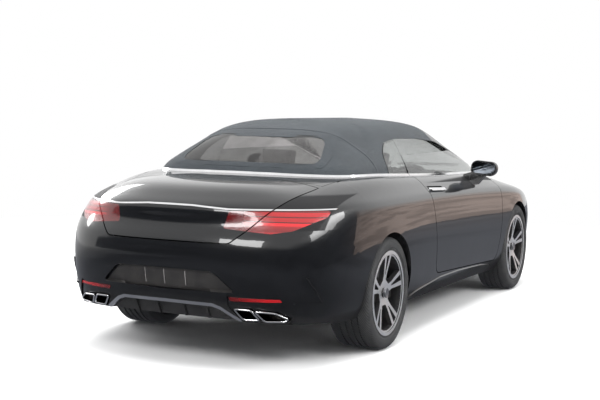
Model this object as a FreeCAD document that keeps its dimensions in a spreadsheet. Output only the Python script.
"""Parametric model of a large two-door convertible car with its fabric roof closed.

Millimetres. X points to the front of the car, Y to its left and Z up. The origin lies on the ground,
midway between the two ends of the bumpers.
"""

import FreeCAD, Part  # noqa: E401, I001
import math
import os

import Sketcher
from FreeCAD import Placement, Rotation, Vector

doc = FreeCAD.newDocument("convertible_car")

# Driving dimensions, one named cell each
sheet = doc.addObject("Spreadsheet::Sheet", "Sizes")
SIZES = [
    ("overall_length", 5044),
    ("overall_width", 1913),
    ("overall_height", 1427),
    ("wheelbase", 2945),
    ("front_overhang", 915),
    ("front_track", 1626),
    ("rear_track", 1608),
    ("front_tyre_radius", 356),
    ("rear_tyre_radius", 354),
    ("front_tyre_width", 255),
    ("rear_tyre_width", 285),
    ("front_rim_width", 222),
    ("rear_rim_width", 248),
    ("bead_radius", 254),
    ("rim_wall", 8),
    ("rim_flange", 14),
    ("spoke_pairs", 5),
    ("disc_radius", 185),
    ("spindle_radius", 30),
    ("running_clearance", 0.5),
    ("seat_gap", 0.3),
    ("king_pin_inset", 70),
    ("arch_clearance", 30),
    ("liner_clearance", 70),
    ("liner_wall", 5),
    ("arch_lip", 20),
    ("sill_height", 225),
    ("waist_height", 590),
    ("shoulder_height", 958),
    ("belt_height", 1040),
    ("belt_half_width", 772),
    ("deck_height", 1085),
    ("bonnet_height", 988),
    ("panel_gap", 7),
    ("outer_skin", 18),
    ("wall_thickness", 110),
    ("bumper_thickness", 40),
    ("lid_thickness", 36),
    ("glass_thickness", 6),
    ("hood_thickness", 24),
    ("pillar_depth", 44),
    ("floor_thickness", 20),
    ("trim_height", 14),
    ("trim_depth", 6),
    ("seat_width", 520),
    ("seat_spacing", 740),
    ("steering_wheel_radius", 188),
    ("grip_radius", 16),
    ("plate_recess", 22),
    ("corner_recess", 9),
    ("plate_screw_radius", 3),
    ("plate_screw_spacing", 300),
    ("jack_pad_height", 20),
    ("column_radius", 20),
    ("tailpipe_wall", 5),
]
for row, (alias, value) in enumerate(SIZES, start=1):
    sheet.set(f"A{row}", alias)
    sheet.set(f"B{row}", str(value))
    sheet.setAlias(f"B{row}", alias)
doc.recompute()


def size(alias):
    """A driving dimension, read from the sheet."""
    return float(sheet.get(alias))


LENGTH = size("overall_length")
HALF_WIDTH = size("overall_width") / 2
FRONT_END = LENGTH / 2
REAR_END = -LENGTH / 2
FRONT_AXLE = FRONT_END - size("front_overhang")
REAR_AXLE = FRONT_AXLE - size("wheelbase")
ROOF = size("overall_height")
SILL = size("sill_height")
WAIST = size("waist_height")
SHOULDER = size("shoulder_height")
BELT = size("belt_height")
BELT_Y = size("belt_half_width")
DECK = size("deck_height")
BONNET = size("bonnet_height")
GAP = size("panel_gap")
SKIN = size("outer_skin")
WALL = size("wall_thickness")
BUMPER = size("bumper_thickness")
LID = size("lid_thickness")
GLASS = size("glass_thickness")
HOOD = size("hood_thickness")
PILLAR = size("pillar_depth")
RECESS = size("plate_recess")
CORNER_RECESS = size("corner_recess")
SEAT_GAP = size("seat_gap")
FRONT_HUB = size("front_tyre_radius")
REAR_HUB = size("rear_tyre_radius")


def between(share):
    """A station between the axles, as a share of the wheelbase from the rear one."""
    return REAR_AXLE + share * (FRONT_AXLE - REAR_AXLE)


def publish(label, shape):
    """A sub-part whose form is computed here rather than by document features."""
    feature = doc.addObject("Part::Feature", label)
    feature.Label = label
    feature.Shape = shape
    return feature


# Outlines and prisms
AXES = {"XZ": (Vector(1, 0, 0), Vector(0, 0, 1), Vector(0, 1, 0)),
        "YZ": (Vector(0, 1, 0), Vector(0, 0, 1), Vector(1, 0, 0)),
        "XY": (Vector(1, 0, 0), Vector(0, 1, 0), Vector(0, 0, 1))}


def grown(corners, distance):
    """The outline moved outwards by a distance; each corner is (a, b) or (a, b, radius)."""
    count = len(corners)
    area = sum(corners[i][0] * corners[(i + 1) % count][1] - corners[(i + 1) % count][0] * corners[i][1]
               for i in range(count))
    turn = 1.0 if area > 0 else -1.0
    moved = []
    for i in range(count):
        a, b, c = corners[i - 1], corners[i], corners[(i + 1) % count]
        ab = math.hypot(b[0] - a[0], b[1] - a[1])
        bc = math.hypot(c[0] - b[0], c[1] - b[1])
        n1 = (turn * (b[1] - a[1]) / ab, -turn * (b[0] - a[0]) / ab)
        n2 = (turn * (c[1] - b[1]) / bc, -turn * (c[0] - b[0]) / bc)
        k = distance / (1 + n1[0] * n2[0] + n1[1] * n2[1])
        radius = b[2] if len(b) > 2 else 0.0
        cross = (b[0] - a[0]) * (c[1] - b[1]) - (b[1] - a[1]) * (c[0] - b[0])
        outer = turn * cross > 0
        radius = max(radius + (distance if outer else -distance), 0.0) if radius else 0.0
        moved.append((b[0] + k * (n1[0] + n2[0]), b[1] + k * (n1[1] + n2[1]), radius))
    return moved


def loop(plane, corners, level):
    """A closed wire of straight runs and tangent arcs at one level along the plane's normal."""
    first, second, normal = AXES[plane]

    def place(a, b):
        return first * a + second * b + normal * level

    count = len(corners)
    runs = []
    for i in range(count):
        a, b, c = corners[i - 1], corners[i], corners[(i + 1) % count]
        radius = b[2] if len(b) > 2 else 0.0
        if radius <= 0:
            runs.append((place(b[0], b[1]),))
            continue
        u = Vector(a[0] - b[0], a[1] - b[1], 0)
        v = Vector(c[0] - b[0], c[1] - b[1], 0)
        turn = u.getAngle(v)
        reach = min(radius / math.tan(turn / 2), 0.48 * u.Length, 0.48 * v.Length)
        u.normalize()
        v.normalize()
        radius = reach * math.tan(turn / 2)
        middle = (u + v).normalize() * (radius / math.sin(turn / 2) - radius)
        runs.append((place(b[0] + u.x * reach, b[1] + u.y * reach),
                     place(b[0] + middle.x, b[1] + middle.y),
                     place(b[0] + v.x * reach, b[1] + v.y * reach)))
    edges = []
    for i in range(count):
        if len(runs[i]) == 3:
            edges.append(Part.Arc(*runs[i]).toShape())
        start, end = runs[i][-1], runs[(i + 1) % count][0]
        if start.distanceToPoint(end) > 0.01:
            edges.append(Part.LineSegment(start, end).toShape())
    return Part.Wire(edges)


def prism(plane, corners, low, high, grow=0.0):
    """The outline extruded along the plane's normal from one level to another."""
    normal = AXES[plane][2]
    return Part.Face(loop(plane, grown(corners, grow) if grow else corners, low)).extrude(normal * (high - low))


def tapered(plane, corners, low, high, low_grow, high_grow):
    """A prism whose outline is grown differently at its two levels."""
    return Part.makeLoft([loop(plane, grown(corners, low_grow), low), loop(plane, grown(corners, high_grow), high)],
                         True, True)


def tube_along_y(x, z, radius, low, high):
    return Part.makeCylinder(radius, high - low, Vector(x, low, z), Vector(0, 1, 0))


def tube_run(points, radius):
    """A round bar that follows a chain of points, with balls at its bends."""
    run = []
    for start, end in zip(points, points[1:]):
        line = end - start
        run.append(Part.makeCylinder(radius, line.Length, start, line))
        run.append(Part.makeSphere(radius, end))
    return run[0].fuse(run[1:])


def mirrored(shape):
    return shape.mirror(Vector(0, 0, 0), Vector(0, 1, 0))


def whole(half):
    """Both halves of a symmetric piece, joined at the centre plane."""
    return half.fuse(mirrored(half)).removeSplitter()


def with_fittings(half, fitting):
    """Both halves of a symmetric piece with a fitting joined on at each side."""
    return whole(half).fuse([fitting, mirrored(fitting)])


def pair(half):
    return Part.makeCompound([half, mirrored(half)])


# Smooth half volumes over nets of control points
def knots(count):
    inner = count - 3
    return [4] + [1] * (inner - 1) + [4], [float(k) for k in range(inner + 1)]


def spline_surface(net):
    """A smooth surface over a net of control points, of the third degree both ways, with even knots."""
    surface = Part.BSplineSurface()
    u_mults, u_knots = knots(len(net))
    v_mults, v_knots = knots(len(net[0]))
    surface.buildFromPolesMultsKnots(net, u_mults, v_mults, u_knots, v_knots, False, False, 3, 3)
    return surface


def stations(count):
    """The parameter at which each control point has its greatest pull."""
    flat = [0.0] * 3 + [float(k) for k in range(count - 2)] + [float(count - 3)] * 3
    return [sum(flat[i + 1:i + 4]) / 3 for i in range(count)]


def inset(net, depth):
    """The net of a surface that lies deeper than the first by a depth, with its lower edge at the same height."""
    if depth == 0:
        return net
    surface = spline_surface(net)
    us, vs = stations(len(net)), stations(len(net[0]))
    deeper = []
    for i, column in enumerate(net):
        row = []
        for j, pole in enumerate(column):
            moved = Vector(pole.x, 0, pole.z - depth)
            if j < len(column) - 1:
                moved = pole + surface.normal(us[i], vs[j]) * depth
            if j == 0:
                moved.z = pole.z
            row.append(moved)
        deeper.append(row)
    for edge, neighbour in ((0, 1), (-1, -2)):
        for j, pole in enumerate(deeper[edge]):
            pole.y = 0
            deeper[neighbour][j].x = pole.x
            deeper[neighbour][j].z = pole.z
    return deeper


def half_solid(net):
    """The closed half volume under a surface whose ends and last row lie on the centre plane."""
    skin = spline_surface(net).toShape()
    ends = [e for e in skin.Edges if abs(e.BoundBox.YMax) < 1e-4 and e.Length > 1]
    low = net[0][0].z
    base = Part.LineSegment(Vector(net[0][0].x, 0, low), Vector(net[-1][0].x, 0, low)).toShape()
    foot = [e for e in skin.Edges if abs(e.BoundBox.ZMax - low) < 1e-4 and abs(e.BoundBox.ZMin - low) < 1e-4]
    side = Part.Face(Part.Wire(Part.__sortEdges__(ends + [base])))
    floor = Part.Face(Part.Wire(Part.__sortEdges__(foot + [base])))
    shell = Part.makeShell([skin, side, floor])
    shell.sewShape()
    solid = Part.Solid(Part.Shell(shell.Faces))
    if solid.Volume < 0:
        solid.reverse()
    return solid


# Body skin. A column's rows run from the lower edge up to the shoulder, then to its inner end.
FOOT = 170.0


# How far along its run to the inner end each upper row lies, and the share of the height it has reached there
RUN = (0.08, 0.18, 0.38, 0.68, 1.0)
LIP = (0.27, 0.68, 0.77, 0.87, 1.0)
LIP_END = (0.33, 0.59, 0.79, 0.91, 1.0)
CORNER = (0.2, 0.48, 0.83, 0.95, 1.0)
HAUNCH = (0.44, 0.76, 0.95, 0.99, 1.0)
HOOD_FOOT = (0.79, 0.985, 1.0, 1.0, 1.0)
BELT_LINE = (0.86, 1.02, 1.02, 1.0, 1.0)
PILLAR_FOOT = (0.5, 0.82, 0.95, 1.0, 1.0)
BONNET_TOP = tuple(share + 0.6 * share * (1 - share) for share in RUN)


def column(outline, inner, rises):
    """One column of the body net: its lower rows, then the rows that lead over the top to its inner end."""
    rows = [Vector(x, y, FOOT if k == 0 else z) for k, (x, y, z) in enumerate(outline)]
    top = rows[-1]
    end = Vector(*inner)
    for share, rise in zip(RUN, rises):
        rows.append(Vector(top.x + share * (end.x - top.x), top.y + share * (end.y - top.y),
                           top.z + rise * (end.z - top.z)))
    return rows


def tail(insets, ys, heights, inner, rises):
    return column([(REAR_END + i, y, z) for i, y, z in zip(insets, ys, heights)], inner, rises)


def nose(insets, ys, heights, inner):
    return column([(FRONT_END - i, y, z) for i, y, z in zip(insets, ys, heights)], inner, BONNET_TOP)


def flank(x, bulge, shoulder, inner, rises):
    """A column on the side: bulge is how far its widest point lies inside the overall width."""
    wide = HALF_WIDTH - bulge
    rise = shoulder - WAIST
    outline = [
        (x, wide - 150, FOOT),
        (x, wide - 55, SILL + 5),
        (x, wide - 14, SILL + 150),
        (x, wide + 3, WAIST),
        (x, wide + 1, WAIST + 0.32 * rise),
        (x, wide - 5, WAIST + 0.56 * rise),
        (x, wide - 14, WAIST + 0.77 * rise),
        (x, wide - 30, WAIST + 0.94 * rise),
        (x, wide - 66, shoulder + 8),
    ]
    return column(outline, inner, rises)


DECK_X = REAR_AXLE + 40
COWL_X = FRONT_AXLE - 155
TAIL_Z = (FOOT, 285, 430, 590, 700, 772, 835, 903, 943)
NOSE_Z = (FOOT, 225, 345, 480, 580, 648, 712, 759, 790)


def level(heights, amount):
    return [z + amount for z in heights]


body_net = [
    tail((190, 85, 20, -9, -6, 14, 70, 60, 70), [0] * 9, TAIL_Z, (DECK_X, 0, DECK + 14), LIP),
    tail((190, 85, 20, -9, -6, 14, 70, 60, 70), [210] * 9, TAIL_Z, (DECK_X, 0, DECK + 14), LIP),
    tail((212, 108, 50, 26, 30, 52, 106, 110, 124), [470, 470, 470, 470, 470, 466, 462, 458, 452], TAIL_Z,
         (DECK_X + 10, 0, DECK + 14), LIP),
    tail((285, 188, 142, 126, 133, 165, 212, 240, 272), [700, 705, 705, 705, 703, 698, 684, 664, 645], TAIL_Z,
         (DECK_X + 40, 0, DECK + 14), LIP_END),
    tail((430, 368, 335, 325, 332, 348, 385, 430, 480), [800, 850, 875, 884, 883, 876, 862, 843, 816], TAIL_Z,
         (DECK_X + 90, 0, DECK + 12), CORNER),
    flank(REAR_AXLE - 420, 8, SHOULDER, (DECK_X + 150, 0, DECK + 10), HAUNCH),
    flank(REAR_AXLE, -4, SHOULDER, (DECK_X + 330, 0, DECK + 5), HOOD_FOOT),
    flank(between(0.16), 2, SHOULDER, (between(0.22), 0, BELT + 26), BELT_LINE),
    flank(between(0.34), 14, SHOULDER - 8, (between(0.36), 0, BELT + 8), BELT_LINE),
    flank(between(0.54), 18, SHOULDER - 22, (between(0.54), 0, BELT - 13), BELT_LINE),
    flank(between(0.73), 16, SHOULDER - 42, (between(0.72), 0, BELT - 28), BELT_LINE),
    flank(between(0.87), 6, SHOULDER - 62, (between(0.84), 0, BONNET + 21), PILLAR_FOOT),
    flank(FRONT_AXLE, -2, SHOULDER - 88, (COWL_X - 120, 0, BONNET + 14), BONNET_TOP),
    flank(FRONT_AXLE + 390, 22, SHOULDER - 150, (COWL_X - 60, 0, BONNET + 8), BONNET_TOP),
    nose((330, 270, 245, 235, 238, 250, 275, 315, 370), [770, 815, 838, 848, 846, 838, 822, 798, 760],
         level(NOSE_Z, -14), (COWL_X - 35, 0, BONNET + 4)),
    nose((205, 130, 98, 88, 91, 105, 132, 176, 235), [600, 640, 656, 664, 662, 655, 642, 622, 596],
         level(NOSE_Z, -8), (COWL_X - 12, 0, BONNET + 2)),
    nose((158, 70, 30, 16, 18, 32, 60, 104, 165), [400, 412, 418, 420, 418, 414, 406, 395, 382],
         level(NOSE_Z, -2), (COWL_X, 0, BONNET)),
    nose((142, 54, 6, -10, -9, 4, 30, 73, 132), [190] * 9, NOSE_Z, (COWL_X, 0, BONNET)),
    nose((142, 54, 6, -10, -9, 4, 30, 73, 132), [0] * 9, NOSE_Z, (COWL_X, 0, BONNET)),
]

# Cabin top: rows run from below the belt up the glass and over the roof rail to the centre line.
GLASS_FOOT = 900.0


def arch(points):
    """One column of the cabin net, from its foot below the belt."""
    return [Vector(x, y, z) for x, y, z in points]


def windscreen_column(y_foot, y_head, sweep_foot, sweep_head, drop):
    """A column up the windscreen and along the roof; sweep moves it back from the centre one."""
    foot, head = COWL_X + 4 - sweep_foot, COWL_X - 1030 - sweep_head
    share = (0.0, 0.12, 0.36, 0.66, 0.9)
    rows = [(foot + 160, y_foot, GLASS_FOOT)]
    for k in share:
        x = foot + k * (head - foot)
        z = 985 + (ROOF - 52 - drop - 985) * (k + 0.22 * k * (1 - k))
        rows.append((x, y_foot + k * (y_head - y_foot), z))
    rows.append((head - 25, y_head * 0.88, ROOF - 24 - 0.75 * drop))
    rows.append((head - 120, y_head * 0.5, ROOF - 8 - 0.35 * drop))
    rows.append((head - 215, 0, ROOF + 2))
    return arch(rows)


def side_glass_column(x, belt_y, belt_z, rail_x, rail_y, rail_z, roof_x):
    """A column up the side glass to the roof rail and across the roof."""
    lean = belt_y - rail_y
    rows = [(x, belt_y + 18, GLASS_FOOT)]
    for k in (0.12, 0.42, 0.74, 1.0):
        rows.append((x + k * (rail_x - x), belt_y - lean * (0.75 * k + 0.25 * k * k),
                     belt_z - 20 + (rail_z - belt_z + 20) * k))
    rows.append((rail_x + 0.12 * (roof_x - rail_x), rail_y - 60, rail_z + 58 * (ROOF - rail_z) / 120))
    rows.append((rail_x + 0.4 * (roof_x - rail_x), rail_y * 0.72, rail_z + 98 * (ROOF - rail_z) / 120))
    rows.append((rail_x + 0.7 * (roof_x - rail_x), rail_y * 0.4, rail_z + 118 * (ROOF - rail_z) / 120))
    rows.append((roof_x, 0, ROOF + 4))
    return arch(rows)


def rear_column(y_foot, y_head, foot_x, foot_z, head_x, head_z, roof_x):
    """A column up the rear slope of the hood and forward along the roof."""
    rows = [(foot_x - 90, y_foot * 1.02, GLASS_FOOT)]
    for k, swell in ((0.0, 0.0), (0.3, 0.03), (0.66, 0.05), (1.0, 0.0)):
        rows.append((foot_x + k * (head_x - foot_x), y_foot + k * (y_head - y_foot),
                     foot_z + (head_z - foot_z) * (k + swell)))
    rows.append((head_x + 150, y_head * 0.93, head_z + 0.5 * (ROOF - head_z)))
    rows.append((head_x + 330, y_head * 0.75, head_z + 0.85 * (ROOF - head_z)))
    rows.append((head_x + 0.55 * (roof_x - head_x) + 160, y_head * 0.4, ROOF - 2))
    rows.append((roof_x, 0, ROOF + 4))
    return arch(rows)


cabin_net = [
    windscreen_column(0, 0, 0, 0, 0),
    windscreen_column(200, 180, 0, 0, 0),
    windscreen_column(460, 390, 34, 18, 12),
    windscreen_column(640, 530, 98, 40, 34),
    side_glass_column(1230, BELT_Y - 56, BELT - 10, 330, 592, ROOF - 127, 120),
    side_glass_column(960, BELT_Y - 20, BELT - 32, 160, 620, ROOF - 119, -40),
    side_glass_column(620, BELT_Y - 2, BELT - 30, -20, 634, ROOF - 111, -160),
    side_glass_column(200, BELT_Y + 5, BELT - 18, -220, 640, ROOF - 109, -270),
    side_glass_column(-300, BELT_Y + 6, BELT, -440, 640, ROOF - 111, -380),
    side_glass_column(-760, BELT_Y, BELT + 22, -640, 634, ROOF - 121, -500),
    side_glass_column(-1130, BELT_Y - 10, BELT + 42, -850, 618, ROOF - 139, -600),
    rear_column(735, 590, -1390, 1092, -1010, 1255, -690),
    rear_column(640, 520, -1545, 1098, -1150, 1290, -770),
    rear_column(430, 370, -1605, 1100, -1215, 1325, -830),
    rear_column(200, 180, -1625, 1102, -1235, 1335, -860),
    rear_column(0, 0, -1625, 1102, -1235, 1335, -860),
]

cabin_net.reverse()

# Volumes at each depth below the outer skin, made once
made = {}


def body(depth=0.0):
    """The left half of the body volume at a depth below its skin."""
    key = ("body", depth)
    if key not in made:
        made[key] = half_solid(inset(body_net, depth))
    return made[key]


def cabin(depth=0.0):
    """The left half of the volume under the glass and hood, at a depth below their outside."""
    key = ("cabin", depth)
    if key not in made:
        made[key] = half_solid(inset(cabin_net, depth))
    return made[key]


# Shut lines and cut-outs. Side views list (x, z), plan views (x, y), end views (y, z), then a corner's radius.
NEAR = -60.0
DOOR_FRONT = FRONT_AXLE - 497
DOOR_REAR = REAR_AXLE + 920
door_outline = [(DOOR_REAR, SILL + 137, 110), (DOOR_FRONT - 8, SILL + 66, 75), (DOOR_FRONT + 62, 1200),
                (DOOR_REAR - 165, 1200)]
LID_FRONT = REAR_AXLE - 452
LID_DRAFT = 0.8
LID_LOW = 738.0
lid_outline = [(NEAR, LID_LOW), (408, LID_LOW, 50), (478, 800, 80), (606, 935, 80), (668, 1030, 60), (668, 1300),
               (NEAR, 1300)]
lid_side = [(REAR_END - 200, 500), (LID_FRONT + LID_DRAFT * (500 - DECK), 500),
            (LID_FRONT + LID_DRAFT * (1300 - DECK), 1300), (REAR_END - 200, 1300)]
cover_outline = [(LID_FRONT, NEAR), (-760, NEAR), (-760, 728), (-1400, 728, 200), (LID_FRONT, 668)]
well_outline = [(NEAR, -50), (HALF_WIDTH - WALL - 18, -50), (HALF_WIDTH - WALL - 18, 905, 60), (704, 968, 30),
                (704, 1300), (NEAR, 1300)]
WELL_REAR, WELL_FRONT = -2400.0, FRONT_AXLE - 431
TAIL_FRONT = REAR_AXLE - 300
BONNET_REAR = COWL_X - 92
BONNET_DRAFT = 0.2
SCREEN_GAP = 14.0
BLADE, BLADE_SLOPE = 9.0, 60.0
bonnet_outline = [(BONNET_REAR, 700), (BONNET_REAR + 46, 640, 160), (COWL_X + 62, 380, 300), (COWL_X + 74, 120),
                  (COWL_X + 74, NEAR), (FRONT_END - 118, NEAR), (FRONT_END - 118, 120), (FRONT_END - 175, 430, 300),
                  (FRONT_END - 300, 640, 160), (FRONT_AXLE + 60, 728, 900)]
front_seam = [(FRONT_AXLE + 290, -50), (FRONT_AXLE + 300, 640), (FRONT_AXLE + 420, 690), (FRONT_AXLE + 560, 1200),
              (FRONT_END + 200, 1200), (FRONT_END + 200, -50)]
rear_seam = [(REAR_AXLE - 300, -50), (REAR_AXLE - 330, 545), (REAR_AXLE - 690, 812), (REAR_END - 200, 812),
             (REAR_END - 200, -50)]
underside = [(REAR_END - 200, -50), (REAR_END - 200, 330), (REAR_END + 110, 290), (REAR_AXLE - 560, 250, 200),
             (REAR_AXLE + 370, 240, 200), (FRONT_AXLE - 420, 196, 300), (FRONT_END - 300, 196, 200),
             (FRONT_END + 200, 250), (FRONT_END + 200, -50)]
lamp_outline = [(352, 820, 12), (620, 797, 60), (720, 812, 100), (838, 880, 30), (836, 918, 16), (600, 921, 200),
                (376, 919, 14)]
PLATE_Z = 515.0
plate_recess = [(NEAR, 454), (450, 462, 12), (345, 560, 30), (300, 578, 20), (NEAR, 584)]
diffuser_outline = [(NEAR, 100), (470, 100), (458, 300, 20), (352, 372, 40), (300, 390, 20), (NEAR, 394)]
corner_recess = [(396, 446, 10), (678, 440, 14), (742, 312, 30), (716, 280, 10), (478, 282), (396, 372, 10)]
reflector_outline = [(404, 433, 3), (678, 428, 3), (690, 412, 3), (410, 410, 3)]
tailpipe_outlines = [[(425, 368, 10), (530, 366, 10), (574, 300, 10), (470, 297, 10)],
                     [(543, 360, 10), (658, 352, 10), (722, 311, 10), (698, 292, 10), (588, 291, 10)]]
fin_outline = [(-2276, 552), (-2264, 557), (-2136, 391), (-2312, 399), (-2312, 411), (-2162, 405)]
sill_blade = [(-1010, 100), (-980, 250, 30), (-650, 292, 80), (-420, 319, 100), (140, 311, 900), (860, 274, 200),
              (1080, 246, 60), (1120, 100)]
lamp_strip = [(NEAR, 938), (150, 937, 300), (372, 923.5, 200), (600, 923.5, 300), (850, 921), (850, 928),
              (600, 931.5, 300), (372, 932, 200), (150, 946, 300), (NEAR, 948)]
handle_outline = [(-482, 950, 9), (-186, 936, 9), (-186, 954, 9), (-482, 968, 9)]
grille_outline = [(NEAR, 360), (330, 360, 60), (405, 470, 60), (385, 640, 60), (NEAR, 668)]
intake_outline = [(430, 262, 20), (770, 262, 40), (800, 440, 30), (520, 440, 40)]
headlamp_outline = [(478, 560, 30), (700, 575, 60), (846, 690, 40), (800, 752, 60), (500, 690, 40)]


def largest(shape):
    """The main solid of a result, without slivers."""
    return sorted(shape.Solids, key=lambda s: s.Volume)[-1]


ground_cut = prism("XZ", underside, NEAR, 1200)
outer = body(0).cut(ground_cut)

# Wheel houses: an opening through the skin and a wider space behind the arch lip
HOUSE_INNER = {"front": 470.0, "rear": 612.0}
HUBS = {"front": (FRONT_AXLE, FRONT_HUB), "rear": (REAR_AXLE, REAR_HUB)}


def house(axle, extra=0.0):
    """The free space round a wheel; extra is the thickness of the liner taken with it."""
    x, z = HUBS[axle]
    opening = tube_along_y(x, z, z + size("arch_clearance"), HOUSE_INNER[axle], 1200)
    room = tube_along_y(x, z, z + size("liner_clearance") + extra, HOUSE_INNER[axle] - extra, 1000)
    return opening.fuse(room.common(body(size("arch_lip"))))


houses = {axle: house(axle, size("liner_wall")) for axle in HUBS}


def liner(axle):
    x, z = HUBS[axle]
    wall = size("liner_wall")
    drum = tube_along_y(x, z, z + size("liner_clearance") + wall, HOUSE_INNER[axle] - wall, 1000)
    drum = drum.common(body(size("arch_lip")))
    room = tube_along_y(x, z, z + size("liner_clearance"), HOUSE_INNER[axle], 1100)
    low = Part.makeBox(2000, 900, 320, Vector(x - 1000, 0, -60))
    axle_window = Part.makeBox(380, 60, z + 60, Vector(x - 190, HOUSE_INNER[axle] - 30, 0))
    return largest(drum.cut([room, ground_cut, low, axle_window]))


# Lid hinges: swan-neck arms on the lid or bonnet, each turning on a pin in a bracket under the next panel
PIN, EYE, ARM = 5.0, 10.0, 7.0
boot_pin = Vector(REAR_AXLE - 392, 450, 1028)
bonnet_pin = Vector(FRONT_AXLE - 307, 600, 925)
boot_arm = [(-23, -98), (-122, -62), (-136, 12)]
bonnet_arm = [(81, -109), (128, -70), (172, -12)]


def hinge_arm(pin, path):
    """A swan-neck arm from the eye round the pin to the panel that it carries."""
    points = [pin] + [pin + Vector(dx, 0, dz) for dx, dz in path]
    eye = tube_along_y(pin.x, pin.z, EYE, pin.y - 7, pin.y + 7)
    bore = tube_along_y(pin.x, pin.z, PIN + size("running_clearance"), pin.y - 20, pin.y + 20)
    return tube_run(points, ARM).fuse(eye).cut(
        [bore] + [Part.makeBox(40, 20, 40, Vector(pin.x - 20, pin.y + y, pin.z - 20)) for y in (-27, 7)])


def hinge_bracket(pin, top):
    """Two cheeks that hold the pin below a panel; top is where they meet its underside."""
    cheeks = [Part.makeBox(24, 6, top - pin.z + 12, Vector(pin.x - 12, pin.y + y, pin.z - 12)) for y in (-14, 8)]
    return cheeks[0].fuse([cheeks[1], tube_along_y(pin.x, pin.z, PIN, pin.y - 14, pin.y + 14)])


# Body panels
door_block = prism("XZ", door_outline, NEAR, 1200)
door_hole = tapered("XZ", door_outline, 600, 1000, GAP / 2 - 34, GAP / 2 + 2)
door_plug = tapered("XZ", door_outline, 600, 1000, -GAP / 2 - 34, -GAP / 2 + 2)
well = prism("YZ", well_outline, WELL_REAR, WELL_FRONT)
lid_block = prism("YZ", lid_outline, REAR_END - 200, LID_FRONT + 200, -GAP / 2).common(
    prism("XZ", lid_side, NEAR, 1000, -GAP / 2))
lid_hole = prism("YZ", lid_outline, REAR_END - 200, LID_FRONT + 200, GAP / 2).common(
    prism("XZ", lid_side, NEAR, 1000, GAP / 2))
cover_block = prism("XY", grown(cover_outline, -GAP / 4), 850, 1200)
cover_hole = prism("XY", grown(cover_outline, GAP / 4), 850, 1200)
bonnet_block = tapered("XY", bonnet_outline, 600, 1200, -GAP / 2 - 350 * BONNET_DRAFT, -GAP / 2 + 250 * BONNET_DRAFT)
bonnet_hole = tapered("XY", bonnet_outline, 600, 1200, GAP / 2 - 350 * BONNET_DRAFT, GAP / 2 + 250 * BONNET_DRAFT)
front_block = prism("XZ", front_seam, NEAR, 1200)
rear_block = prism("XZ", rear_seam, NEAR, 1200)
lamp_block = prism("YZ", lamp_outline, REAR_END - 100, REAR_AXLE - 500)
head_block = prism("YZ", headlamp_outline, FRONT_END - 460, FRONT_END + 50)

# Outer shells at the thicknesses that the panels have
thin_shell = outer.cut(body(SKIN))
bumper_shell = outer.cut(body(BUMPER))
lid_shell = outer.cut(body(LID))

fender = thin_shell.common(prism("XZ", [(DOOR_FRONT + GAP / 2 - 8, -50), (DOOR_FRONT + GAP / 2 + 62, 1200),
                                        (FRONT_END, 1200), (FRONT_END, -50)], 500, 1200))
fender = largest(fender.cut([houses["front"], bonnet_hole, front_block, door_hole,
                             prism("XY", [(0, NEAR), (BONNET_REAR + 40, NEAR), (BONNET_REAR + 40, 700),
                                          (0, 715)], 850, 1200)]))
publish("fender_left", fender)
publish("fender_right", mirrored(fender))

side = outer.common(Part.makeBox(WELL_FRONT - REAR_END + 200, 1200, 1300, Vector(REAR_END - 200, NEAR, 0)))
side = side.cut([well, door_hole, lid_hole, cover_hole, houses["front"], houses["rear"], rear_block, lamp_block,
                 fender])
side = side.fuse(thin_shell.common(Part.makeBox(TAIL_FRONT - REAR_END + 200, 1200, 1300, Vector(REAR_END - 200, 0, 0)))
                 .cut([lid_hole, cover_hole, houses["rear"], rear_block, lamp_block]))
blade = body(-BLADE).common(tapered("XZ", sill_blade, 860, 1000, BLADE_SLOPE, -BLADE_SLOPE))
blade = blade.cut([body(SEAT_GAP), ground_cut, houses["front"], houses["rear"], fender])
side = largest(side.fuse(blade))
publish("body_side_left", side)
publish("body_side_right", mirrored(side))

bonnet = largest(lid_shell.common(bonnet_block))
publish("bonnet", with_fittings(bonnet, hinge_arm(bonnet_pin, bonnet_arm)))

lid = lid_shell.common(lid_block).cut([lamp_block])
lid = largest(lid)
publish("boot_lid", with_fittings(lid, hinge_arm(boot_pin, boot_arm)))

cover = outer.cut(body(SKIN)).common(cover_block).cut([lid_hole, body(0).common(cabin(-6))])
cover = largest(cover)
publish("tonneau_cover", with_fittings(cover, hinge_bracket(boot_pin, 1056)))

TURN_CLEARANCE = 9.0
half_tyre = size("front_tyre_width") / 2 + TURN_CLEARANCE
front = bumper_shell.common(front_block).cut([bonnet_hole, head_block, houses["front"],
                                              prism("YZ", grille_outline, 2000, 2700),
                                              prism("YZ", intake_outline, 2000, 2700)])
for angle in (-33, -26, -18, -10):
    turned = tube_along_y(0, 0, FRONT_HUB + TURN_CLEARANCE, -half_tyre, half_tyre)
    turned.translate(Vector(0, size("king_pin_inset"), 0))
    turned.rotate(Vector(0, 0, 0), Vector(0, 0, 1), angle)
    turned.translate(Vector(FRONT_AXLE, size("front_track") / 2 - size("king_pin_inset"), FRONT_HUB))
    front = front.cut(turned)
front = largest(front)
publish("front_bumper", whole(front))



def at_tail(outline, grow=0.0):
    """An end-view outline carried through the rear bumper."""
    return prism("YZ", outline, REAR_END - 100, REAR_END + 520, grow)


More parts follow.
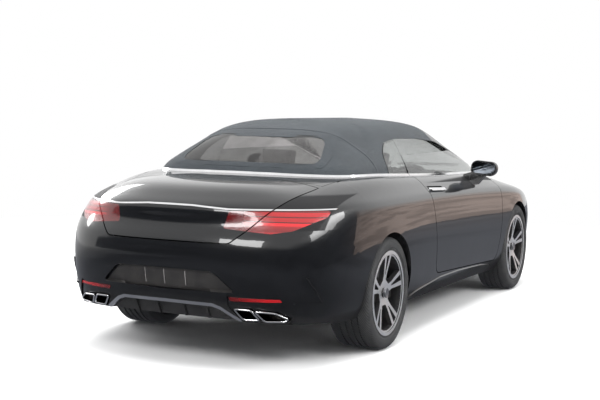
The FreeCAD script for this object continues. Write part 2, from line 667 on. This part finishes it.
reflector = body(CORNER_RECESS - 3).cut(body(CORNER_RECESS + 12)).common(at_tail(reflector_outline))
rear = bumper_shell.common(rear_block).fuse(
    body(-BLADE).cut(body(SEAT_GAP)).common(prism("XZ", fin_outline, 600, 1000)))
rear = rear.cut([lid_hole, lamp_block, houses["rear"], at_tail(diffuser_outline),
                 outer.cut(body(RECESS)).common(at_tail(plate_recess)),
                 outer.cut(body(CORNER_RECESS)).common(at_tail(corner_recess)),
                 body(0).cut(body(CORNER_RECESS + 12 + SEAT_GAP)).common(at_tail(reflector_outline, SEAT_GAP))]
                + [at_tail(outline, 3) for outline in tailpipe_outlines])
rear = largest(rear)
screws = Part.makeCylinder(size("plate_screw_radius"), 300,
                           Vector(REAR_END - 50, size("plate_screw_spacing") / 2, PLATE_Z), Vector(1, 0, 0))
publish("rear_bumper", whole(rear.cut(screws)))

lamp = bumper_shell.common(lamp_block)
strip_zone = prism("YZ", lamp_strip, REAR_END - 200, REAR_AXLE - 560)
lamp_trim = body(-3).cut(body(-SEAT_GAP)).common(strip_zone)
publish("boot_trim", whole(largest(lamp_trim.common(prism("YZ", lid_outline, REAR_END - 200, LID_FRONT, -GAP / 2)))))
side_lamp_trim = largest(lamp_trim.cut(lid_hole))
tail_lamp = largest(lamp.cut(lid_hole))
publish("tail_lamps", Part.makeCompound([tail_lamp, mirrored(tail_lamp), reflector, mirrored(reflector)]))
boot_lamp = largest(lamp.common(lid_block))
publish("boot_lamps", pair(boot_lamp))
publish("headlamps", pair(largest(bumper_shell.common(head_block).cut([bonnet_hole]))))

door = outer.common(door_plug).cut(well)
cup = body(0).cut(body(7)).common(prism("XZ", handle_outline, 700, 1000, 9))
grip = body(-13).cut(body(-4)).common(prism("XZ", handle_outline, 700, 1000))
feet = body(-6).cut(body(10)).common(prism("XZ", handle_outline, 700, 1000)).cut(
    Part.makeBox(230, 1200, 1300, Vector(-449, 0, 0)))
door = largest(door.cut(cup).fuse([grip, feet]))
publish("door_left", door)
publish("door_right", mirrored(door))

diffuser_zone = at_tail(diffuser_outline)
diffuser_core = at_tail(diffuser_outline, -20)
vanes = [Part.makeBox(500, 12, 400, Vector(REAR_END - 50, y, 100)) for y in (84, 236)]
diffuser = outer.cut(body(BUMPER + 26)).common(diffuser_zone).cut(
    diffuser_core.common(body(0).cut(body(BUMPER))).cut(vanes))
diffuser = diffuser.cut(body(0).cut(body(14)).common(diffuser_zone)).cut(body(0).cut(body(26)).common(diffuser_core))
diffuser = largest(diffuser)
publish("diffuser", whole(diffuser))
diffuser_trim = body(-2).cut(body(14 - SEAT_GAP)).common(diffuser_zone).cut([diffuser_core, ground_cut])
diffuser_trim = largest(diffuser_trim.common(at_tail(diffuser_outline, -SEAT_GAP)))
liners = Part.makeCompound([s for axle in HUBS for s in (liner(axle), mirrored(liner(axle)))])
publish("arch_liners", liners)

# Glass, windscreen frame and hood, all under one cabin surface
window_outline = [(-925, 850), (DOOR_FRONT + 60, 850), (DOOR_FRONT + 60, 1045, 40), (330, 1258, 60),
                  (-120, 1290, 400), (-520, 1297, 400), (-740, 1276, 160), (-880, 1190, 120)]
screen_outline = [(COWL_X + 200, NEAR), (COWL_X + 200, 706), (COWL_X - 150, 664), (COWL_X - 1035, 532, 60),
                  (COWL_X - 1018, 240, 400), (COWL_X - 1016, NEAR)]
rear_window_outline = [(NEAR, 1150), (560, 1150, 90), (470, 1318, 110), (NEAR, 1334)]
HEADER_REAR = COWL_X - 1190
B_POST = -562.0
quarter_block = prism("XZ", window_outline, 400, 1200, -GAP / 2)
glazed = cabin(0).cut([cabin(GLASS), body(0)])
side_glass = glazed.common(quarter_block)
door_glass = side_glass.common(Part.makeBox(2000, 1200, 1500, Vector(B_POST + GAP / 2, 0, 0)))
door_glass = largest(door_glass.common(prism("XZ", door_outline, 400, 1200, -12)))
quarter = side_glass.common(Part.makeBox(800, 1200, 1500, Vector(B_POST - GAP / 2 - 800, 0, 0)))
window_hole = prism("XZ", window_outline, 400, 1200, GAP / 2)
rear_window_block = prism("YZ", rear_window_outline, -1800, -900)
screen_block = prism("XY", screen_outline, 850, 1500)
screen_clear = tapered("XY", bonnet_outline, 600, 1200, SCREEN_GAP - 350 * BONNET_DRAFT, SCREEN_GAP + 250 * BONNET_DRAFT)
publish("windscreen", whole(largest(glazed.common(screen_block).cut(screen_clear))))
publish("door_glass_left", door_glass)
publish("door_glass_right", mirrored(door_glass))
rear_glass = largest(glazed.common(rear_window_block))
publish("rear_glass", whole(rear_glass))
publish("quarter_glass", pair(largest(quarter)))

frame_zone = Part.makeBox(1600, 1200, 1000, Vector(HEADER_REAR, 0, 700))
screen_frame = cabin(0).cut([cabin(PILLAR), body(0), window_hole, screen_block]).common(frame_zone)
screen_frame = largest(screen_frame.cut(screen_clear))
publish("windscreen_frame", whole(screen_frame))

hood_zone = Part.makeBox(2400, 1200, 1000, Vector(HEADER_REAR - GAP / 4 - 2400, 0, 700))
hood = cabin(0).cut([cabin(HOOD), body(0), window_hole, rear_window_block]).common(hood_zone)
publish("soft_top", whole(largest(hood)))

# Bright strip round the belt: on the doors it rides with them
strip = body(-size("trim_height")).cut([body(-SEAT_GAP), cabin(-SEAT_GAP)]).common(cabin(-size("trim_depth")))
strip = strip.common(Part.makeBox(4000, 1200, 800, Vector(-2600, 0, 850)))
door_strip = largest(strip.common(prism("XZ", door_outline, 400, 1200, -GAP / 2)))
rear_strip = strip.common(Part.makeBox(3000, 1200, 800, Vector(-2600, 0, 850))).cut(
    prism("XZ", door_outline, 400, 1200, GAP / 2))
rear_strip = largest(rear_strip.common(Part.makeBox(2100, 1200, 800, Vector(-2600, 0, 850))))
publish("belt_trim", Part.makeCompound([whole(rear_strip), whole(diffuser_trim), side_lamp_trim,
                                        mirrored(side_lamp_trim)]))
publish("door_trim_left", door_strip)
publish("door_trim_right", mirrored(door_strip))

# Cowl panel between the bonnet and the cabin
cowl = thin_shell.common(Part.makeBox(900, 800, 500, Vector(WELL_FRONT, NEAR, 800)))
cowl = cowl.cut([bonnet_hole, fender, side, prism("XY", [(0, 715), (2200, 715), (2200, 900), (0, 900)], 700, 1200)])
publish("cowl", with_fittings(largest(cowl), hinge_bracket(bonnet_pin, 956)))


# Features bound to the sheet
FRONT_X = "(Sizes.overall_length / 2 - Sizes.front_overhang)"
REAR_X = "(Sizes.overall_length / 2 - Sizes.front_overhang - Sizes.wheelbase)"


def value(expression):
    """The number that an expression over the sheet gives."""
    result = sheet.evalExpression(str(expression))
    return float(getattr(result, "Value", result))


def block(x, y, z):
    """A box between expressions over the sheet."""
    box = doc.addObject("Part::Box", "block")
    for letter, side_name, (low, high) in (("x", "Length", x), ("y", "Width", y), ("z", "Height", z)):
        box.setExpression(f"Placement.Base.{letter}", f"{low}")
        box.setExpression(side_name, f"({high}) - ({low})")
    return box


def rod(start, end, radius):
    """A round bar between two points given as expressions over the sheet."""
    a = Vector(*(value(s) for s in start))
    b = Vector(*(value(s) for s in end))
    bar = doc.addObject("Part::Cylinder", "rod")
    bar.Height = (b - a).Length
    bar.setExpression("Radius", str(radius))
    bar.Placement = Placement(a, Rotation(Vector(0, 0, 1), b - a))
    return bar


def fused(label, pieces):
    union = doc.addObject("Part::MultiFuse", label)
    union.Shapes = pieces
    union.Label = label
    return union


def less(label, base, tool):
    cut = doc.addObject("Part::Cut", label)
    cut.Base = base
    cut.Tool = tool
    cut.Label = label
    return cut


def reflected(label, source):
    """The right-hand twin of a left-hand piece."""
    twin = doc.addObject("Part::Mirroring", label)
    twin.Source = source
    twin.Normal = Vector(0, 1, 0)
    twin.Label = label
    return twin


def sketch_on(container, role, name, outlines):
    """A sketch of closed outlines on one of a body's own planes, each corner held by two expressions."""
    sketch = container.newObject("Sketcher::SketchObject", name)
    plane = [f for f in container.Origin.OriginFeatures if f.Role == role][0]
    sketch.AttachmentSupport = [(plane, "")]
    sketch.MapMode = "FlatFace"
    for outline in outlines:
        first = sketch.GeometryCount
        points = [Vector(value(a), value(b), 0) for a, b in outline]
        count = len(points)
        for k in range(count):
            sketch.addGeometry(Part.LineSegment(points[k], points[(k + 1) % count]), False)
        for k in range(count):
            sketch.addConstraint(Sketcher.Constraint("Coincident", first + k, 2, first + (k + 1) % count, 1))
        for k, (a, b) in enumerate(outline):
            for kind, axis, expression, number in (("DistanceX", -2, a, points[k].x),
                                                   ("DistanceY", -1, b, points[k].y)):
                if abs(number) < 1e-6:
                    sketch.addConstraint(Sketcher.Constraint("PointOnObject", first + k, 1, axis))
                    continue
                index = sketch.addConstraint(Sketcher.Constraint(kind, -1, 1, first + k, 1, number))
                sketch.setExpression(f"Constraints[{index}]", str(expression))
    return sketch


def revolve(container, name, outlines):
    """A profile of (radius, axial place) turned about the body's Y axis."""
    profile = sketch_on(container, "XY_Plane", name + "_profile", outlines)
    turned = container.newObject("PartDesign::Revolution", name)
    turned.Profile = profile
    turned.ReferenceAxis = (profile, ["V_Axis"])
    return turned


def place_wheel(container, x, track, hub, left):
    container.setExpression("Placement.Base.x", x)
    container.setExpression("Placement.Base.y", f"{'' if left else '-'}{track} / 2")
    container.setExpression("Placement.Base.z", hub)
    if not left:
        container.Placement = Placement(container.Placement.Base, Rotation(Vector(0, 0, 1), 180))


def polar(radius, degrees):
    angle = math.radians(degrees)
    return radius * math.cos(angle), radius * math.sin(angle)


def make_wheel(label, axle, x, left):
    """A cast wheel with twin spokes and the brake disc bolted behind it."""
    half = f"Sizes.{axle}_rim_width / 2"
    bead, wall, flange = "Sizes.bead_radius", "Sizes.rim_wall", "Sizes.rim_flange"
    face = f"{half} + 6"
    rim = doc.addObject("PartDesign::Body", label)
    rim.Label = label
    revolve(rim, label + "_barrel", [[
        (f"{bead} - {wall}", f"-({half} + {wall})"), (f"{bead} + {flange}", f"-({half} + {wall})"),
        (f"{bead} + {flange}", f"-({half})"), (bead, f"-({half})"), (bead, half), (f"{bead} + {flange}", half),
        (f"{bead} + {flange}", f"{half} + {wall}"), (f"{bead} - {wall}", f"{half} + {wall}")]])
    dish = revolve(rim, label + "_dish", [[
        (28, f"{face} - 34"), (74, f"{face} - 30"), (160, f"{face} - 17"), (f"{bead} - {wall}", f"{face} - 4"),
        (f"{bead} - {wall}", f"{face} - 32"), (160, f"{face} - 50"), (80, f"{face} - 62"), (28, f"{face} - 62")]])
    doc.recompute()
    inner = value(f"{bead} - {wall}") - 9
    middle = 180.0 / size("spoke_pairs")
    narrow = [(116, -4), (116, 4), polar(inner, 5.2), polar(inner, 0), polar(inner, -5.2)]
    wide = [polar(84, middle - 19), polar(120, middle - 24)]
    wide += [polar(inner, middle + k) for k in (-23.5, -12, 0, 12, 23.5)]
    wide += [polar(120, middle + 24), polar(84, middle + 19)]
    quarter_turn = [[(-b, a) for a, b in outline] for outline in (narrow, wide)]
    windows = sketch_on(rim, "XZ_Plane", label + "_windows", quarter_turn)
    pocket = rim.newObject("PartDesign::Pocket", label + "_pocket")
    pocket.Profile = windows
    pocket.Length = 400
    pocket.Midplane = True
    doc.recompute()
    assert pocket.Shape.Volume < dish.Shape.Volume
    pattern = rim.newObject("PartDesign::PolarPattern", label + "_spokes")
    pattern.Originals = [pocket]
    pattern.Axis = (windows, ["N_Axis"])
    pattern.setExpression("Occurrences", "Sizes.spoke_pairs")
    rim.Tip = pattern
    doc.recompute()
    bore = "Sizes.spindle_radius + Sizes.running_clearance"
    hub = revolve(rim, label + "_hub", [[
        (0, f"{face} - 22"), (30, f"{face} - 24"), (32, f"{face} - 45"), (94, f"{face} - 60"), (94, 40),
        ("Sizes.disc_radius", 40), ("Sizes.disc_radius", 8), (58, 8), (58, -10), (bore, -10), (bore, 38), (0, 38)]])
    rim.Tip = hub
    place_wheel(rim, x, f"Sizes.{axle}_track", f"Sizes.{axle}_tyre_radius", left)
    return rim


def make_tyre(label, axle, x, left):
    half = f"Sizes.{axle}_rim_width / 2 - 0.3"
    wide = f"Sizes.{axle}_tyre_width / 2"
    radius, bead = f"Sizes.{axle}_tyre_radius", "Sizes.bead_radius"
    tyre = doc.addObject("PartDesign::Body", label)
    tyre.Label = label
    side_wall = [(f"{bead} + 0.3", half), (f"{bead} + 26", half), (f"{bead} + 50", wide),
                 (f"{radius} - 16", f"{wide} - 6"), (radius, f"{wide} - 30")]
    profile = side_wall + [(a, f"-({b})") for a, b in reversed(side_wall)]
    tyre.Tip = revolve(tyre, label + "_ring", [profile])
    place_wheel(tyre, x, f"Sizes.{axle}_track", radius, left)
    return tyre


for axle, x in (("front", FRONT_X), ("rear", REAR_X)):
    for hand, is_left in (("left", True), ("right", False)):
        make_wheel(f"wheel_{axle}_{hand}", axle, x, is_left)
        make_tyre(f"tyre_{axle}_{hand}", axle, x, is_left)


# Knuckles, axles and brakes
def spot(x, dx, y, dy, z, dz):
    return (f"{x} + {dx}", f"{y} + {dy}", f"{z} + {dz}")


def caliper(x, y, z, toward):
    """A brake caliper over the disc's edge; toward is 1 for the front of the disc and -1 for its back."""
    near, far = sorted((toward * 140, toward * 218))
    body_block = block((f"{x} + {near}", f"{x} + {far}"), (f"{y} - 50", f"{y} + 62"), (f"{z} - 62", f"{z} + 62"))
    slot = doc.addObject("Part::Cylinder", "disc_slot")
    slot.setExpression("Radius", "Sizes.disc_radius + 8")
    slot.Height = 44
    slot.Placement = Placement(Vector(value(x), value(y) + 46, value(z)), Rotation(Vector(1, 0, 0), 90))
    return less("caliper", body_block, slot)


FRONT_Y, FRONT_Z = "Sizes.front_track / 2", "Sizes.front_tyre_radius"
REAR_Y, REAR_Z = "Sizes.rear_track / 2", "Sizes.rear_tyre_radius"
PIN_Y = "Sizes.front_track / 2 - Sizes.king_pin_inset"
knuckle = fused("knuckle_left", [
    rod(spot(FRONT_X, 0, PIN_Y, 0, FRONT_Z, -110), spot(FRONT_X, 0, PIN_Y, 0, FRONT_Z, 178), 24),
    rod(spot(FRONT_X, 0, PIN_Y, 0, FRONT_Z, 0), spot(FRONT_X, 0, FRONT_Y, 35, FRONT_Z, 0), "Sizes.spindle_radius"),
    block((f"{FRONT_X} - 218", FRONT_X), (f"{FRONT_Y} - 56", f"{FRONT_Y} - 22"), (f"{FRONT_Z} - 28", f"{FRONT_Z} + 28")),
    rod(spot(FRONT_X, 0, PIN_Y, 0, FRONT_Z, -70), spot(FRONT_X, 128, PIN_Y, -18, FRONT_Z, -70), 15),
    caliper(FRONT_X, FRONT_Y, FRONT_Z, -1),
])
reflected("knuckle_right", knuckle)

front_half = [
    block((f"{FRONT_X} - 100", f"{FRONT_X} + 100"), (0, 330), (f"{FRONT_Z} - 156", f"{FRONT_Z} - 106")),
    rod(spot(FRONT_X, 0, PIN_Y, 0, FRONT_Z, -140), spot(FRONT_X, 0, PIN_Y, 0, FRONT_Z, -110.5), 30),
    rod(spot(FRONT_X, -90, 300, 0, FRONT_Z, -130), spot(FRONT_X, 0, PIN_Y, 0, FRONT_Z, -126), 14),
    rod(spot(FRONT_X, 90, 300, 0, FRONT_Z, -130), spot(FRONT_X, 0, PIN_Y, 0, FRONT_Z, -126), 14),
    rod(spot(FRONT_X, 0, 600, 0, FRONT_Z, -132), spot(FRONT_X, 0, 600, 0, FRONT_Z, 424), 30),
    rod(spot(FRONT_X, 0, 600, 0, FRONT_Z, 194), spot(FRONT_X, 0, PIN_Y, 0, FRONT_Z, 194), 12),
    rod(spot(FRONT_X, 0, PIN_Y, 0, FRONT_Z, 178.5), spot(FRONT_X, 0, PIN_Y, 0, FRONT_Z, 208), 22),
    block((f"{FRONT_X} - 60", f"{FRONT_X} + 60"), (300, 460), (f"{FRONT_Z} - 106", f"{FRONT_Z} - 86")),
]
front_left = fused("front_axle_left", front_half)
fused("front_axle", [front_left, reflected("front_axle_mirror", front_left)])

rear_half = [
    rod((REAR_X, 0, REAR_Z), (REAR_X, 140, REAR_Z), 90),
    rod((REAR_X, 130, REAR_Z), spot(REAR_X, 0, REAR_Y, 35, REAR_Z, 0), "Sizes.spindle_radius"),
    block((f"{REAR_X} + 110", f"{REAR_X} + 190"), (0, 560), (f"{REAR_Z} - 10", f"{REAR_Z} + 60")),
    block((f"{REAR_X} - 190", f"{REAR_X} - 110"), (0, 560), (f"{REAR_Z} - 10", f"{REAR_Z} + 60")),
    block((f"{REAR_X} - 190", f"{REAR_X} + 190"), (100, 180), (f"{REAR_Z} - 10", f"{REAR_Z} + 60")),
    rod(spot(REAR_X, 150, 540, 0, REAR_Z, 20), spot(REAR_X, 20, REAR_Y, -66, REAR_Z, -40), 14),
    rod(spot(REAR_X, -150, 540, 0, REAR_Z, 20), spot(REAR_X, -20, REAR_Y, -66, REAR_Z, -40), 14),
    block((f"{REAR_X} - 40", f"{REAR_X} + 218"), (f"{REAR_Y} - 74", f"{REAR_Y} - 22"), (f"{REAR_Z} - 60", f"{REAR_Z} + 28")),
    caliper(REAR_X, REAR_Y, REAR_Z, 1),
    block((f"{REAR_X} + 120", f"{REAR_X} + 180"), (440, 500), (f"{REAR_Z} + 60", "Sizes.sill_height + 224.7")),
    block((f"{REAR_X} - 180", f"{REAR_X} - 120"), (440, 500), (f"{REAR_Z} + 60", "Sizes.sill_height + 224.7")),
]
rear_left = fused("rear_axle_left", rear_half)
fused("rear_axle", [rear_left, reflected("rear_axle_mirror", rear_left)])

# Floor, bulkheads and front rails
inner_wall = HALF_WIDTH - WALL - 18
JACK_FRONT, JACK_REAR = 900.0, -500.0
T = size("floor_thickness")
kick = [(WELL_FRONT - 30, SILL), (WELL_FRONT - 30, SILL + T), (-560, SILL + T), (-640, SILL + 115),
        (-985, SILL + 115), (-1015, SILL + 225 + T), (REAR_END + 130, SILL + 225 + T), (REAR_END + 130, SILL + 225),
        (-1031, SILL + 225), (-1001, SILL + 115 - T), (-654, SILL + 115 - T), (-574, SILL)]
floor = prism("XZ", kick, 0, inner_wall)
tunnel_end = -410.0
tunnel_length = WELL_FRONT - 30 - tunnel_end
tunnel_side = 104.0
floor = floor.cut(Part.makeBox(tunnel_length, tunnel_side - T, 200, Vector(tunnel_end, 0, SILL - 50)))
tunnel = Part.makeBox(tunnel_length + T, tunnel_side, 165, Vector(tunnel_end - T, 0, SILL)).cut(
    Part.makeBox(tunnel_length, tunnel_side - T, 150, Vector(tunnel_end, 0, SILL - 5)))
floor = floor.fuse([
    tunnel,
    Part.makeBox(T, inner_wall, 930 - SILL, Vector(WELL_FRONT - 30, 0, SILL)),
    Part.makeBox(T, 700, 930 - SILL - 225, Vector(-1060, 0, SILL + 225)),
    Part.makeBox(1130, 64, 95, Vector(WELL_FRONT - 20, 400, 400)),
    Part.makeBox(60, 620, 110, Vector(FRONT_AXLE + 620, 0, 390)),
    Part.makeBox(120, T, 240, Vector(FRONT_AXLE + 640, 400, 200)),
    Part.makeBox(90, 60, size("jack_pad_height"), Vector(JACK_FRONT - 45, 700, SILL - size("jack_pad_height"))),
    Part.makeBox(90, 60, size("jack_pad_height"), Vector(JACK_REAR - 45, 700, SILL - size("jack_pad_height"))),
])
floor = largest(floor.cut([houses["front"], houses["rear"]]).common(body(SKIN + 6)).cut([side, front, rear, diffuser]))
publish("floor_pan", whole(floor))
publish("engine_block", whole(Part.makeBox(640, 250, 470, Vector(FRONT_AXLE - 330, 0, FRONT_HUB - 105.7))))
publish("radiator", Part.makeBox(60, 760, 300, Vector(FRONT_AXLE + 559.7, -380, 400)))

# Grille, intakes and tail
grille_shell = outer.cut(body(30))
bars = [Part.makeBox(700, 1200, 22, Vector(2000, 0, z)) for z in (428, 506, 584)]
bars += [Part.makeBox(700, 14, 400, Vector(2000, y, 330)) for y in (0, 120, 240)]
surround = prism("YZ", grille_outline, 2000, 2700).cut(prism("YZ", grille_outline, 2000, 2700, -24))
openings = prism("YZ", grille_outline, 2000, 2700)
intake_bars = [Part.makeBox(900, 1200, 16, Vector(1800, 400, z)) for z in (310, 375)]
grille = grille_shell.common(openings).common(surround.fuse(bars))
intakes = grille_shell.common(prism("YZ", intake_outline, 2000, 2700)).common(
    intake_bars[0].fuse(intake_bars[1:] + [Part.makeBox(900, 16, 400, Vector(1800, 640, 200))]))
intakes = largest(intakes)
publish("grille", Part.makeCompound([whole(largest(grille)), intakes, mirrored(intakes)]))


def tailpipe(outline):
    """One slanted tailpipe trim, open to the rear, its end following the bumper."""
    pipe = prism("YZ", outline, REAR_END, REAR_END + 300)
    hollow = prism("YZ", outline, REAR_END - 1, REAR_END + 250, -size("tailpipe_wall"))
    return pipe.cut(hollow).common(body(-2))


muffler_top = SILL + 225 - 0.3
muffler = [(180, 288, 40), (700, 288, 40), (700, muffler_top, 40), (180, muffler_top, 40)]
pipes = [tailpipe(outline) for outline in tailpipe_outlines]
pipes.append(prism("YZ", muffler, REAR_END + 260, REAR_END + 520))
exhaust_run = [(REAR_END + 500, 300, 320), (REAR_AXLE + 330, 276.5, 262), (-640, 276.5, 192),
               (FRONT_AXLE - 400, 276.5, 188), (FRONT_AXLE - 290, 276.5, 300)]
pipes.append(tube_run([Vector(*point) for point in exhaust_run], 26))
exhaust = largest(pipes[0].fuse(pipes[1:]))
publish("exhaust", pair(exhaust))

# Seats and dashboard
seat_half = size("seat_width") / 2
seat_outline = [(-40, 300), (430, 300, 60), (440, 455, 70), (60, 430, 60), (-190, 1030, 60), (-330, 1050, 40),
                (-120, 480, 120), (-110, 330, 60)]
head_outline = [(-210, 1060, 30), (-235, 1180, 50), (-330, 1190, 50), (-345, 1062, 30)]
seat_y = size("seat_spacing") / 2
seat = prism("XZ", seat_outline, seat_y - seat_half, seat_y + seat_half).fuse([
    prism("XZ", head_outline, seat_y - 140, seat_y + 140),
    Part.makeBox(30, 120, 90, Vector(-285, seat_y - 60, 1000)),
    Part.makeBox(420, 60, 80, Vector(-20, seat_y - 200, SILL + T + 0.3)),
    Part.makeBox(420, 60, 80, Vector(-20, seat_y + 140, SILL + T + 0.3)),
])
publish("front_seats", pair(largest(seat)))
shelf = SILL + 225 + T + SEAT_GAP
bench_outline = [(-450, SILL + 115.3), (-440, 480, 60), (-860, 450, 40), (-940, 965, 50), (-1039.7, 965, 30),
                 (-1039.7, shelf), (-1014, shelf), (-984, SILL + 115.3), (-640, SILL + 115.3)]
bench_side = HOUSE_INNER["rear"] - size("liner_wall") - 3
publish("rear_seat", prism("XZ", bench_outline, -bench_side, bench_side))

dash_outline = [(WELL_FRONT - 30.3, 600), (WELL_FRONT - 30.3, 965, 30), (860, 985, 60), (765, 930, 60),
                (745, 800, 80), (850, 620, 60)]
dash = prism("XZ", dash_outline, 0, 668).fuse([
    prism("XZ", dash_outline, 0, 795).common(Part.makeBox(2000, 900, 260, Vector(0, 0, 620))),
    prism("XZ", [(-340, SILL + 165.3), (1100, SILL + 165.3), (1100, 640), (760, 640, 60), (600, 560, 80),
                 (-340, 560, 40)], 0, 105)])
WHEEL_X, WHEEL_Z, COLUMN_TILT = 505.0, 880.0, 25.0
column = Vector(math.cos(math.radians(COLUMN_TILT)), 0, -math.sin(math.radians(COLUMN_TILT)))
hub_spot = Vector(WHEEL_X, -seat_y, WHEEL_Z)
dash = whole(dash).cut(Part.makeCylinder(size("column_radius") + size("running_clearance"), 200,
                                         hub_spot + column * 200, column))
publish("dashboard", largest(dash))

steering = doc.addObject("PartDesign::Body", "steering_wheel")
steering.Label = "steering_wheel"
revolve(steering, "steering_hub", [[(0, 18), (46, 12), (52, -20), ("Sizes.column_radius", -30),
                                    ("Sizes.column_radius", -320), (0, -320)]])
ring, grip = "Sizes.steering_wheel_radius", "Sizes.grip_radius"
spoke_sketch = sketch_on(steering, "XZ_Plane", "spokes", [
    [(f"-{ring}", -14), (ring, -14), (ring, 26), (f"-{ring}", 26)],
])
spokes = steering.newObject("PartDesign::Pad", "spoke_pad")
spokes.Profile = spoke_sketch
spokes.Length = 12
spokes.Midplane = True
lower_sketch = sketch_on(steering, "XZ_Plane", "lower_spoke", [
    [(-16, f"-{ring}"), (16, f"-{ring}"), (16, 0), (-16, 0)],
])
lower = steering.newObject("PartDesign::Pad", "lower_spoke_pad")
lower.Profile = lower_sketch
lower.Length = 12
lower.Midplane = True
octagon = [(f"{ring} + {grip} * {math.cos(k * math.pi / 4 + 0.39):.4f}",
            f"{grip} * {math.sin(k * math.pi / 4 + 0.39):.4f}") for k in range(8)]
steering.Tip = revolve(steering, "steering_ring", [octagon])
steering.Placement = Placement(hub_spot, Rotation(Vector(0, 1, 0), -column))

# Door mirrors
MIRROR_X, MIRROR_Y, MIRROR_Z = 565.0, 958.0, 1062.0
shell_outline = [(MIRROR_Y - 98, MIRROR_Z - 44, 36), (MIRROR_Y + 92, MIRROR_Z - 62, 52),
                 (MIRROR_Y + 112, MIRROR_Z + 46, 60), (MIRROR_Y - 88, MIRROR_Z + 62, 50)]
housing = Part.makeLoft([loop("YZ", grown(shell_outline, inward), MIRROR_X + ahead)
                         for ahead, inward in ((-42, 0), (10, -1), (48, -14), (76, -42))], True)
housing = housing.cut(prism("YZ", shell_outline, MIRROR_X - 60, MIRROR_X - 28, -9))
arm = prism("YZ", [(800, 935), (905, 935), (962, 1002, 15), (962, 1036), (880, 1036), (800, 1010)], MIRROR_X - 24,
            MIRROR_X + 46)
mirror_piece = largest(housing.fuse(arm).cut([body(-SEAT_GAP), cabin(-10)]))
publish("mirror_left", mirror_piece)
publish("mirror_right", mirrored(mirror_piece))

doc.recompute()

# Every object is sound before anything is written
HELPERS = ("block", "rod", "caliper", "disc_slot", "front_axle_left", "front_axle_mirror", "rear_axle_left",
           "rear_axle_mirror")
nodes = []
for obj in doc.Objects:
    if "Invalid" in obj.State or "Error" in obj.State:
        raise RuntimeError(f"{obj.Label} did not compute")
    is_feature = obj.TypeId.startswith("Part::") or obj.TypeId == "PartDesign::Body"
    if not is_feature or obj.Name.startswith(HELPERS):
        continue
    if obj.Shape.isNull() or not obj.Shape.isValid():
        raise RuntimeError(f"{obj.Label} has no sound shape")
    nodes.append(obj)

os.makedirs("parts", exist_ok=True)
for obj in nodes:
    obj.Shape.exportStep(f"parts/{obj.Label}.step")
    print(obj.Label, len(obj.Shape.Solids), round(obj.Shape.Volume / 1e6, 2))
print(len(nodes), "nodes")
